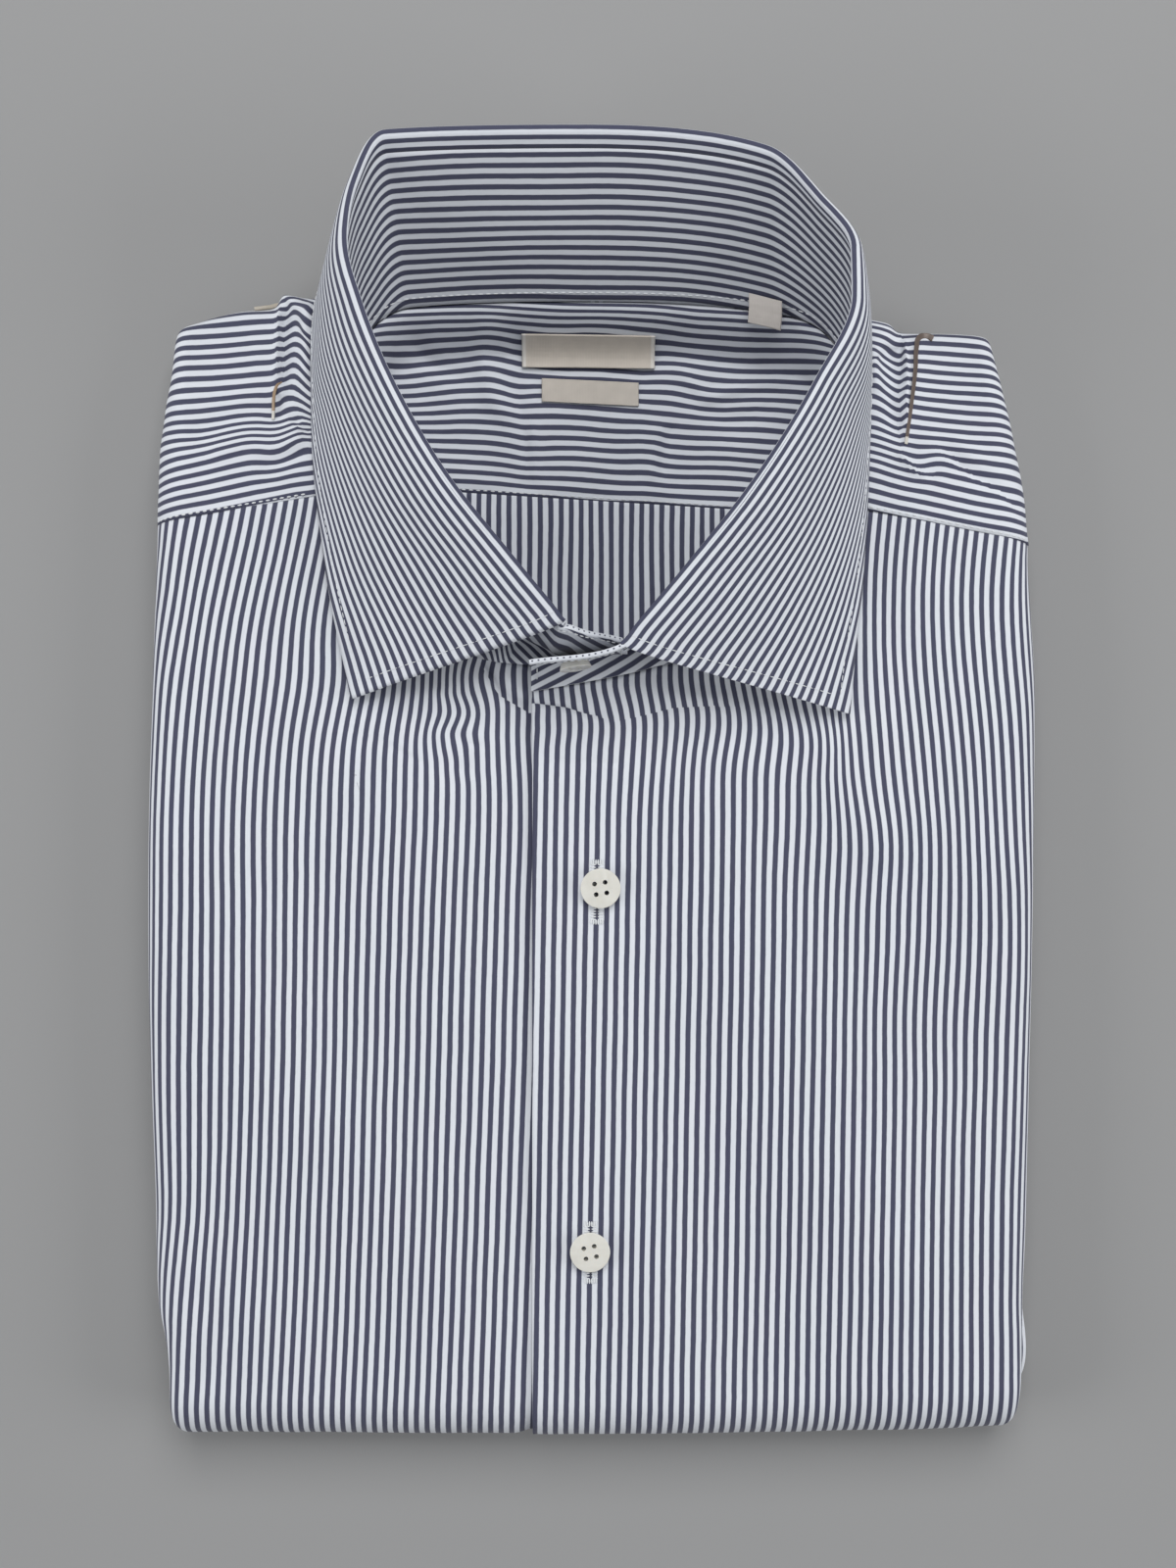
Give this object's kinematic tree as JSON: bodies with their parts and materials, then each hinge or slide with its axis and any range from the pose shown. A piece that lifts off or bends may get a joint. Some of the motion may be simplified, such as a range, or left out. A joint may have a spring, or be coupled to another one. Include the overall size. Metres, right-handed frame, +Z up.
{
  "type": "folded dress shirt",
  "caption": "Long-sleeved striped cotton dress shirt, folded flat with its front up, collar standing and buttoned, sleeves and tail folded behind.",
  "frame": {"origin": "middle of the outline, on the surface that the folded shirt lies on", "axes": "+Y up the shirt from its folded bottom edge to the collar, +X towards the viewer's right looking down on the front, +Z up out of the front"},
  "size_m": [0.2406, 0.3441, 0.061],
  "materials": {
    "striped_cotton": "fine woven stripe, matt",
    "inner_folds": "fine woven stripe, matt",
    "button": "pearly",
    "label": "woven tape, slight sheen",
    "clip_plastic": "smooth",
    "clip_metal": "dark, smooth"
  },
  "bodies": {
    "root": {"front_left": "striped_cotton", "front_right": "striped_cotton", "yoke_outer": "striped_cotton", "yoke_inner": "striped_cotton", "back": "striped_cotton", "folded_layers": "inner_folds", "sleeve_left": "striped_cotton", "sleeve_right": "striped_cotton", "collar_stand": "striped_cotton", "collar_leaf": "striped_cotton", "button_upper": "button", "button_lower": "button", "button_collar": "button", "label_main": "label", "label_small": "label", "size_tag": "label", "clip_left": "clip_plastic", "clip_right": "clip_metal"}
  },
  "joints": []
}
